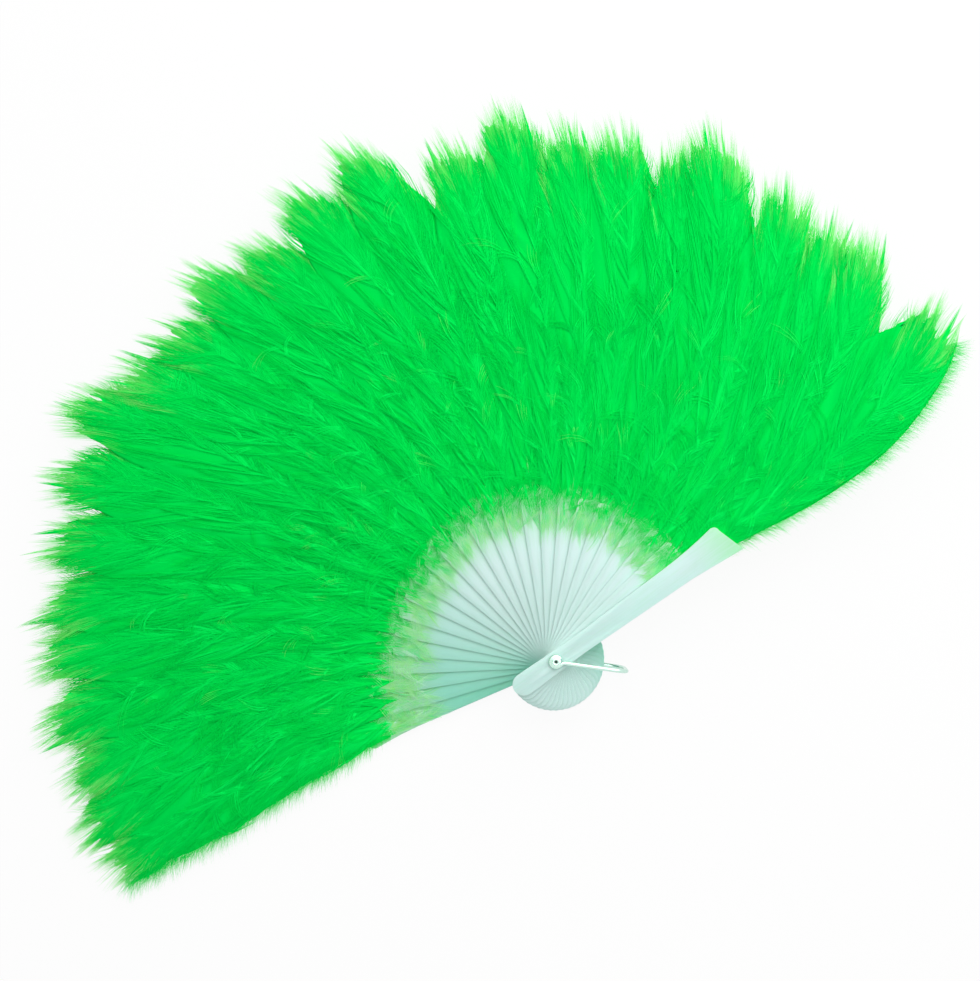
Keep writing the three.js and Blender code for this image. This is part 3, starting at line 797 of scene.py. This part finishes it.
class Plume:
    """The room that one plume has, in millimetres, taken from its CAD node."""

    def __init__(self, number, random):
        node = f"plume_{number:02d}"
        spots = np.array([v.co[:] for v in frame["nodes"][node].data.vertices]) / MM
        reaches = np.hypot(spots[:, 0], spots[:, 1])
        self.tip = float(reaches.max())
        end = spots[reaches > self.tip - 0.01].mean(axis=0)
        self.level = float(spots[:, 2].min())
        self.angle = stave_angle(number)
        self.lean = math.atan2(end[1], end[0]) - self.angle
        self.number = number
        ends = {1: BACK_HALF_WIDTH, STAVE_COUNT: FRONT_HALF_WIDTH}
        self.half_width = ends.get(number, VANE_HALF_WIDTH)
        self.down_start = float(np.interp(number, [*DOWN_STARTS], [*DOWN_STARTS.values()]))
        self.down_depth = float(np.interp(number, [*DOWN_DEPTHS], [*DOWN_DEPTHS.values()]))
        self.yellower = YELLOWER_BY * float(ease(YELLOWER_FROM, YELLOWER_TO, number))
        lows, highs = zip(RIDGE_LENGTH, RIDGE_TURN, (0, math.tau))
        self.ridges = random.uniform(lows, highs, (RIDGES, 3))

    def width_at(self, reach):
        """Half the width of the plume at each reach from the rivet."""
        wide = NECK_REACH + WIDE_SHARE * (self.tip - NECK_REACH)
        grow = np.interp(reach, [QUILL_ROOT, NECK_REACH], [ROOT_HALF_WIDTH, NECK_HALF_WIDTH])
        grow = grow + (self.half_width - NECK_HALF_WIDTH) * ease(WIDENING_REACH, wide, reach)
        share = np.clip((reach - wide) / (self.tip - wide), 0, 1)
        shrink = TIP_HALF_WIDTH + (self.half_width - TIP_HALF_WIDTH) * np.sqrt(1 - share ** 2)
        return np.where(reach < wide, grow, shrink)

    def spine(self, reach):
        """The way to the quill at each reach: it leans anticlockwise beyond the neck."""
        share = np.clip((reach - NECK_REACH) / (self.tip - NECK_REACH), 0, None)
        return self.angle + self.lean * share ** LEAN_POWER

    def place(self, reach, offset, height):
        """Points beside the spine in the fan. They keep within the outer edges of the guards'
        plumes, all but a little, and under the front guard."""
        angle = self.spine(reach) + offset / reach
        right = front.spine(reach) - FRONT_OUTER_SHARE * front.width_at(reach) / reach
        left = back.spine(reach) + back.width_at(reach) / reach
        angle = np.maximum(angle, right + BEYOND_EDGE * np.minimum(angle - right, 0))
        angle = np.minimum(angle, left + BEYOND_EDGE * np.maximum(angle - left, 0))
        x, y = reach * np.cos(angle), reach * np.sin(angle)
        z = np.maximum(self.level + height, FLOOR_CLEARANCE)
        along = x * math.cos(GUARD_ANGLE) + y * math.sin(GUARD_ANGLE)
        aside = np.abs(y * math.cos(GUARD_ANGLE) - x * math.sin(GUARD_ANGLE))
        clear = np.hypot(np.maximum(along - GUARD_END, 0), np.maximum(aside - GUARD_HALF_WIDTH, 0))
        z = np.minimum(z, GUARD_FLOOR - GUARD_GAP + GUARD_SLOPE * clear)
        return np.stack([x, y, z], axis=-1)

    def relief(self, reach, offset):
        """Soft ridges of the locks, from -1 to 1, which leave the quill and bend along it."""
        side = offset / self.width_at(reach)
        line = reach - RIDGE_BEND * (1 - np.sqrt(1 - np.clip(np.abs(side), 0, 0.95)))
        return sum(
            np.sin(line * math.tau / length + turn * side + start)
            for length, turn, start in self.ridges
        ) / RIDGES

    def tone(self, reach, offset):
        """The tone of the green down, with painted shade that deepens it between the soft ridges
        and painted light that lifts it near the root."""
        painted_light = ROOT_LIGHT_TONE * ease(ROOT_LIGHT_FROM, ROOT_LIGHT_TO, reach)
        return GREEN_TONE + RIDGE_SHADE_TONE * self.relief(reach + 3, offset) + painted_light

    def bed(self, reach, offset):
        """Height of the soft bed of down that the locks lie in, thinned out at its edges."""
        across = offset / self.width_at(reach)
        thin = 1 - 0.4 * ease(0.7, 1, across) - 0.85 * ease(-0.7, -1, across)
        return (0.75 * self.swell(reach, offset) + 0.9 * self.relief(reach, offset)) * thin

    def swell(self, reach, offset):
        """Height of the plume's upper side: full in the middle, high at the left edge, where it
        lies on the next plume, and thin at its root and tip."""
        across = np.clip(offset / self.width_at(reach), -1.2, 1.2)
        dome = DOME_HEIGHT * np.clip(1 - across ** 2, 0, 1) + LEFT_RISE * (across + 1) / 2
        thin = 1 - TIP_THINNER * ease(self.tip - TIP_THIN_FROM, self.tip, reach)
        return LEAST_SWELL + dome * ease(QUILL_ROOT - 6, FULL_SWELL_REACH, reach) * thin


def strands(centres, widths, tones, tilts=0, rise=0.22):
    """Closed three-sided strands along centres, shaped (barb, point, xyz), with half widths
    shaped (barb, point), each turned about its own length by a tilt. Gives the vertices, the
    faces of one strand and the map values, whose tones differ a little from side to side."""
    count, points, _ = centres.shape
    ahead = np.gradient(centres, axis=1)
    ahead /= np.linalg.norm(ahead, axis=2, keepdims=True) + NO_LENGTH
    level_side = np.cross(ahead, np.array([0, 0, 1.0]))
    level_side /= np.linalg.norm(level_side, axis=2, keepdims=True) + NO_LENGTH
    level_up = np.cross(level_side, ahead)
    tilts = np.reshape(np.broadcast_to(tilts, (count,)), (count, 1, 1))
    up = level_up * np.cos(tilts) + level_side * np.sin(tilts)
    side = np.cross(ahead, up)
    widths = widths[..., None]
    corners = np.stack([
        centres - side * widths - rise * up * widths,
        centres + side * widths - rise * up * widths,
        centres + rise * up * widths,
    ], axis=2)
    rings = corners[:, :-1].reshape(count, (points - 1) * 3, 3)
    vertices = np.concatenate([rings, centres[:, -1:]], axis=1)
    per_strand = vertices.shape[1]
    faces = [(0, 2, 1)]
    for ring in range(points - 2):
        for corner in range(3):
            near, far = 3 * ring + corner, 3 * ring + (corner + 1) % 3
            faces.append((near, far, far + 3, near + 3))
    last = 3 * (points - 2)
    for corner in range(3):
        faces.append((last + corner, last + (corner + 1) % 3, per_strand - 1))
    along = np.append(np.repeat(np.linspace(0, 1, points)[:-1], 3), 1)
    apart = np.append(np.tile(SIDE_TONES, points - 1), 0)
    maps = np.stack([
        tones[:, None] + apart[None, :], np.broadcast_to(along, (count, per_strand)),
    ], axis=-1)
    return vertices, faces, maps


def barbs_mesh(name, bunches):
    """One mesh of all the strands of the bunches, in metres, with the map of their tones."""
    vertices, loops, sizes, maps, smooth = [], [], [], [], []
    start = 0
    for bunch_vertices, faces, bunch_maps in bunches:
        count, per_strand, _ = bunch_vertices.shape
        smooth.append(np.full(count * len(faces), count == 1))
        pattern = np.concatenate([np.array(face) for face in faces])
        first = start + per_strand * np.arange(count)
        loops.append((pattern[None, :] + first[:, None]).ravel())
        sizes.append(np.tile([len(face) for face in faces], count))
        vertices.append(bunch_vertices.reshape(-1, 3))
        maps.append(bunch_maps.reshape(-1, 2))
        start += count * per_strand
    vertices, loops, sizes, maps = (np.concatenate(each) for each in (vertices, loops, sizes, maps))
    mesh = bpy.data.meshes.new(name)
    mesh.vertices.add(len(vertices))
    mesh.vertices.foreach_set("co", (vertices * MM).ravel())
    mesh.loops.add(len(loops))
    mesh.loops.foreach_set("vertex_index", loops)
    mesh.polygons.add(len(sizes))
    mesh.polygons.foreach_set("loop_start", np.concatenate([[0], np.cumsum(sizes)[:-1]]))
    mesh.polygons.foreach_set("use_smooth", np.concatenate(smooth))
    layer = mesh.uv_layers.new(name="OFBake")
    layer.data.foreach_set("uv", maps[loops].ravel())
    mesh.update(calc_edges=True)
    return mesh


class Locks:
    """Locks of barbs, side by side in each lock from -1 to 1, and their random values."""

    def __init__(self, random, locks, barbs):
        self.random, self.locks, self.barbs = random, locks, barbs
        self.way = np.linspace(0, 1, BARB_POINTS)[None, :]
        self.across = np.tile(np.linspace(-1, 1, barbs), locks)[:, None]
        self.across = self.across + self.each(-0.7, 0.7) / barbs

    def lock(self, low, high):
        """A value for each lock, which all its barbs share."""
        return np.repeat(self.random.uniform(low, high, (self.locks, 1)), self.barbs, axis=0)

    def lock_normal(self, spread):
        """The same, from a normal spread about zero."""
        return np.repeat(self.random.normal(0, spread, (self.locks, 1)), self.barbs, axis=0)

    def each(self, low, high):
        """A value for each barb."""
        return self.random.uniform(low, high, (self.locks * self.barbs, 1))

    def thickness(self, thick, taper, power):
        """Half the thickness of each barb, which tapers towards its end."""
        return self.each(*thick) * (1 - taper * self.way ** power)

    def wave(self, turns, depth):
        """How far each lock waves to the side."""
        return np.sin(self.way * self.lock(*turns) + self.lock(0, ABOUT_A_TURN)) * self.lock(*depth)


def vane_barbs(plume, random):
    """The long barbs that make the plume's body: silky locks from the quill to both sides."""
    count = round(VANE_LOCKS * plume.half_width / VANE_HALF_WIDTH)
    locks = Locks(random, count, VANE_LOCK_BARBS)
    way, across = locks.way, locks.across
    root = QUILL_ROOT + (plume.tip - VANE_SHORT - QUILL_ROOT) * locks.lock(0, 1) ** 0.85
    root = root + across * 3
    side = locks.lock(-1, 1)
    side = np.sign(side) * np.abs(side) ** 0.7
    blunt = plume.tip + 3 - 5 * locks.lock(0, 1) - 7 * locks.each(0, 1) - 7 * np.abs(side) ** 3
    end = np.minimum(root + locks.lock(*VANE_LENGTH) + locks.each(-4, 4), blunt)
    final = 1.06 * side * plume.width_at(end) * (1 + locks.lock_normal(0.05))
    bend = 1 - (1 - way) ** locks.lock(1.3, 2.3)
    wave = locks.wave(turns=(3, 6.5), depth=(0.6, 3))
    fan = locks.lock(1.4, 2.8) * (0.25 + 0.75 * np.sin(np.pi / 2 * way ** 0.7))
    fan = fan * (1 - locks.lock(0, 0.9) * way ** 2)
    reach = root + (end - root) * way ** 1.1
    offset = final * bend + wave * way + across * fan
    height = plume.bed(reach, offset) + locks.lock(0, 0.5) + 0.4 * (1 - across ** 2)
    half = locks.thickness(VANE_THICK, taper=0.85, power=2.5)
    lighter = 0.15 * (locks.lock(0, 1) < 0.12)
    tones = plume.tone(reach, offset).mean(axis=1, keepdims=True) + locks.lock_normal(0.04)
    tones = np.clip(tones + lighter + locks.each(-0.02, 0.02), 0.01, 0.54)[:, 0]
    places = plume.place(reach, offset, height)
    return [strands(places, half, tones, 0.06 * across[:, 0], rise=0.12)]


def curly_barbs(plume, random):
    """Curly down on the lower half of the plume, in small locks that stand up and turn."""
    locks = Locks(random, CURL_LOCKS, CURL_LOCK_BARBS)
    way, across = locks.way, locks.across
    root = plume.down_start + plume.down_depth + CURL_SPAN * locks.lock(0, 1) ** 1.3
    length = locks.lock(*CURL_LENGTH) * locks.each(0.85, 1.1)
    turn = locks.lock_normal(0.4) + locks.lock_normal(0.6) * way + across * 0.05
    reach = root + length * np.cos(turn) * way
    offset = length * np.sin(turn) * way + locks.lock_normal(3)
    fan = across * locks.lock(1, 2.2) * np.sin(np.pi * way ** 0.7)
    reach = reach - fan * np.sin(turn)
    offset = offset + fan * np.cos(turn)
    rise = locks.lock(0.2, 1.2) * np.sin(way * 2.5) * ease(78, 108, reach)
    height = plume.bed(reach, offset) + rise + 0.3 * (1 - across ** 2)
    half = locks.thickness(CURL_THICK, taper=0.88, power=2)
    tones = plume.tone(reach, offset).mean(axis=1, keepdims=True) + locks.lock_normal(0.07)
    tones = np.clip(tones + locks.each(-0.02, 0.02), 0.01, 0.55)[:, 0]
    places = plume.place(reach, offset, height)
    return [strands(places, half, tones, 0.1 * across[:, 0], rise=0.12)]


def tip_wisps(plume, random):
    """Thin paler ends that stand out past the blunt tip, some in points and some spread."""
    locks = Locks(random, WISP_LOCKS, WISP_LOCK_BARBS)
    way, across = locks.way, locks.across
    aside = locks.lock(-1.1, 1.1)
    end = plume.tip + locks.lock(-7, 10) - 10 * np.abs(aside) ** 2.5 + locks.each(-4, 3)
    root = end - locks.lock(*WISP_LENGTH)
    final = aside * TIP_HALF_WIDTH * WISP_SPREAD
    start = final * locks.lock(0.4, 0.8)
    wave = locks.wave(turns=(3, 5.5), depth=(0.3, 1.8))
    fan = across * locks.lock(1.2, 2.6) * (1 - way * locks.lock(0.1, 1))
    reach = root + (end - root) * way
    offset = start + (final - start) * way ** 1.5 + wave * way + fan
    height = plume.bed(reach, offset) + locks.lock(0, 0.5)
    half = locks.thickness(WISP_THICK, taper=0.92, power=2)
    tones = locks.lock(*WISP_TONES) + locks.each(-0.01, 0.01)
    places = plume.place(reach, offset, height)
    return [strands(places, half, tones[:, 0], 0.1 * across[:, 0], rise=0.1)]


def tip_points(plume, random):
    """Locks of longer barbs that draw together to one soft green point past the tip."""
    locks = Locks(random, POINT_LOCKS, POINT_LOCK_BARBS)
    way, across = locks.way, locks.across
    end = plume.tip + locks.lock(-1, 11) + locks.each(-5, 0)
    root = end - locks.lock(*POINT_LENGTH)
    aside = locks.lock(-0.9, 0.9) * TIP_HALF_WIDTH
    sweep = locks.lock(-5, 5)
    fan = across * 3.2 * (1 - 0.9 * way)
    reach = root + (end - root) * way
    offset = aside + sweep * way ** 2 + fan
    height = plume.bed(reach, offset) + 0.3 * (1 - across ** 2)
    half = locks.thickness(POINT_THICK, taper=0.8, power=3)
    tones = locks.lock(*POINT_TONES) + locks.each(-0.04, 0.04)
    return [strands(plume.place(reach, offset, height), half, tones[:, 0], 0.2 * across[:, 0])]


def stray_barbs(plume, random):
    """Small tufts that lie curved over the plume's body, raised to catch the light and dyed paler
    as painted highlights.
    """
    locks = Locks(random, STRAY_LOCKS, STRAY_LOCK_BARBS)
    way, across = locks.way, locks.across
    root = STRAY_START + (plume.tip - (STRAY_SHORT + STRAY_START)) * locks.lock(0, 1) ** 1.4
    length = locks.lock(*STRAY_LENGTH) * locks.each(0.7, 1.1)
    turn = locks.lock(-0.8, 0.8) + locks.lock(-0.9, 0.9) * way + 0.1 * across
    reach = root + length * np.cos(turn) * way
    offset = locks.lock(-0.6, 0.6) * plume.width_at(root) + length * np.sin(turn) * way
    offset = offset + across * locks.lock(0.4, 0.9) * (1 - 0.8 * way)
    height = plume.bed(reach, offset) + 0.3 + 0.9 * np.sin(way * 3)
    half = locks.thickness(STRAY_THICK, taper=0.9, power=2) * ease(*THIN_ROOT, way)
    tones = locks.lock(*STRAY_HIGHLIGHT_TONES)
    places = plume.place(reach, offset, height)
    return [strands(places, half, tones[:, 0], rise=0.12)]


def root_fringe(plume, random):
    """Pale yellow-green down at the plume's root, lying inwards over the blade. On the plumes
    at the back of the stack some of its tufts are tangled and lie across."""
    locks = Locks(random, FRINGE_LOCKS, FRINGE_LOCK_BARBS)
    way, across = locks.way, locks.across
    tangled = ease(TANGLED_FROM, TANGLED_TO, plume.number)
    cross = CROSS_TURN * np.sign(locks.lock(-1, 2)) * (locks.lock(0, 1) < CROSS_SHARE * tangled)
    deep = plume.down_depth + np.where(cross == 0, 10, -4)
    root = plume.down_start + 2 + deep * locks.lock(0, 1)
    length = locks.lock(*FRINGE_LENGTH) * locks.each(0.8, 1.1)
    turn = np.pi + cross + locks.lock_normal(0.22) + locks.lock_normal(0.25) * way
    apart = across * np.where(cross == 0, locks.lock(0.6, 2), locks.lock(1, 4))
    reach = root + length * np.cos(turn) * way + apart * np.sin(cross)
    offset = locks.lock(-4, 5) + length * np.sin(turn) * way + apart * np.cos(cross)
    beside = -offset - STEP_FROM
    step = np.where(beside > 0, LAYER_PITCH * beside / STEP_WIDTH, 0)
    height = 0.75 + step + locks.lock(0.05, 0.35) * np.sin(way * 2.8)
    half = locks.thickness(FRINGE_THICK, taper=0.85, power=2) * ease(*THIN_ROOT, way)
    half = half * np.where(cross == 0, 1, CROSS_THICKER)
    fading = (root > plume.down_start + plume.down_depth) & (cross == 0)
    tones = np.where(cross == 0, locks.lock(*DOWN_TONES), locks.lock(*CROSS_TONES))
    tones = np.maximum(tones - plume.yellower, LEAST_DOWN_TONE)
    tones = np.where(fading, FADING_TONE, tones + locks.each(-0.01, 0.01))
    return [strands(plume.place(reach, offset, height), half, tones[:, 0], rise=0.1)]


def edge_fuzz(plume, random):
    """Short fine down that blurs the outer edge of a guard's plume, from past its root to just
    short of its tip."""
    locks = Locks(random, FUZZ_BARBS, 1)
    way = locks.way
    outwards = 1 if plume is back else -1
    share = 1 if plume is back else FRONT_OUTER_SHARE
    first = plume.down_start + FUZZ_START
    root = first + (plume.tip - FUZZ_SHORT - first) * locks.each(0, 1)
    turn = outwards * locks.each(0.2, 1.3)
    length = locks.each(*FUZZ_LENGTH) * ease(first - 12, first + 24, root)
    reach = root + length * np.cos(turn) * way
    start = outwards * (share * plume.width_at(root) - locks.each(0, 4))
    height = plume.swell(reach, start) * 0.7 + locks.each(-0.4, 0.4)
    under_guard = GUARD_FLOOR - FUZZ_GUARD_GAP + GUARD_SLOPE * np.maximum(root - GUARD_END, 0)
    angle = plume.spine(root) + start / root
    spots = np.stack([
        root * np.cos(angle) + length * way * np.cos(angle + turn),
        root * np.sin(angle) + length * way * np.sin(angle + turn),
        np.minimum(plume.level + height, under_guard) + 0 * way,
    ], axis=-1)
    half = locks.thickness(FUZZ_THICK, taper=0.8, power=2)
    tones = locks.each(*FUZZ_TONES)
    return [strands(spots, half, tones[:, 0], rise=0.12)]


def quill(plume):
    """The quill, 1.3 mm thick at its root and fine at its end."""
    way = np.linspace(0, 1, QUILL_POINTS)[None, :]
    reach = QUILL_ROOT + (plume.tip - QUILL_SHORT - QUILL_ROOT) * way
    height = 0.2 + plume.swell(reach, 0 * reach) * 0.5
    centres = plume.place(reach, 0 * reach, height)
    half = QUILL_RADIUS - QUILL_THINNER * way
    return [strands(centres, half, np.array([QUILL_TONE]), rise=0.5)]


def web(plume, random):
    """The thin web of fine down round the quill, which the locks lie on, with ragged edges."""
    rows, columns = WEB_ROWS, WEB_COLUMNS
    last = plume.tip - WEB_SHORT
    reach = np.linspace(plume.down_start, last, rows)[:, None]
    across = np.linspace(-1, 1, columns)[None, :]
    blunt = 1 - WEB_BLUNT * ease(plume.tip - WEB_BLUNT_FROM, last, reach)
    sides = np.broadcast_to(plume.width_at(reach), (rows, columns))
    thinned = 0.03 * ease(plume.tip - 30, plume.tip - 15, reach)
    ragged = 1 - thinned * (1 + random.uniform(-1, 1, (rows, columns))) * np.abs(across) ** 8
    offset = across * sides * blunt * ragged
    wander = 3 * (1 - 0.7 * np.abs(across) ** 3)
    reach = reach + wander * plume.relief(reach, 0.5 * offset) - 4 * np.abs(across) ** 3
    ends = random.uniform(*WEB_ENDS, (1, columns))
    reach = reach + ends * ease(plume.tip - 24, last, reach)
    upper = plume.place(reach, offset, plume.bed(reach, offset))
    lower = upper - np.array([0, 0, WEB_THICKNESS])
    vertices = np.concatenate([upper.reshape(-1, 3), lower.reshape(-1, 3)])[None]
    under = rows * columns
    faces = []
    for row in range(rows - 1):
        for column in range(columns - 1):
            first = row * columns + column
            cell = [first, first + columns, first + columns + 1, first + 1]
            faces.append(tuple(cell))
            faces.append(tuple(under + corner for corner in (first, *cell[:0:-1])))
    rim = [*range(columns)]
    rim += [row * columns + columns - 1 for row in range(1, rows)]
    rim += [(rows - 1) * columns + column for column in range(columns - 2, -1, -1)]
    rim += [row * columns for row in range(rows - 2, 0, -1)]
    for near, far in zip(rim, rim[1:] + rim[:1]):
        faces.append((near, far, under + far, under + near))
    tone = plume.tone(reach, offset)
    green_start = plume.down_start + plume.down_depth + 5 * plume.relief(reach, 0.5 * offset)
    pale = WEB_DOWN_TONE - plume.yellower + 0.08 * plume.relief(3 * reach, offset)
    tone = pale + (tone - pale) * ease(green_start - 8, green_start + 9, reach)
    at_end = ease(plume.tip - WEB_PALE_FROM, plume.tip - WEB_PALE_TO, reach)
    tone = tone + (WEB_END_TONE - tone) * at_end
    at_root = ease(plume.down_start + 6, plume.down_start - 1, reach)
    along = 0.1 + 0.7 * at_end + 0.8 * at_root
    maps = np.tile(np.stack([tone.ravel(), along.ravel()], axis=-1), (2, 1))[None]
    return [(vertices, faces, maps)]


GUARD_ANGLE = stave_angle(STAVE_COUNT)
GUARD_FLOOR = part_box("front_guard")[0].z / MM
feather_barbs = dyed_barbs()
randoms = [np.random.default_rng(700 + number) for number in range(STAVE_COUNT + 1)]
plumes = [Plume(number, randoms[number]) for number in range(1, STAVE_COUNT + 1)]
back, front = plumes[0], plumes[-1]
for plume in plumes:
    number, random = plume.number, randoms[plume.number]
    bunches = [
        *web(plume, random), *quill(plume), *vane_barbs(plume, random), *curly_barbs(plume, random),
        *tip_wisps(plume, random), *tip_points(plume, random), *stray_barbs(plume, random),
        *root_fringe(plume, random),
    ]
    if plume in (back, front):
        bunches += edge_fuzz(plume, random)
    mesh = barbs_mesh(f"plume_{number:02d}_feathers", bunches)
    mesh.materials.append(feather_barbs)
    feathers = bpy.data.objects.new(f"plume_{number:02d}_feathers", mesh)
    bpy.context.collection.objects.link(feathers)
    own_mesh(feathers)
    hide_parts(f"plume_{number:02d}")
    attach(feathers, leaf_body(number))
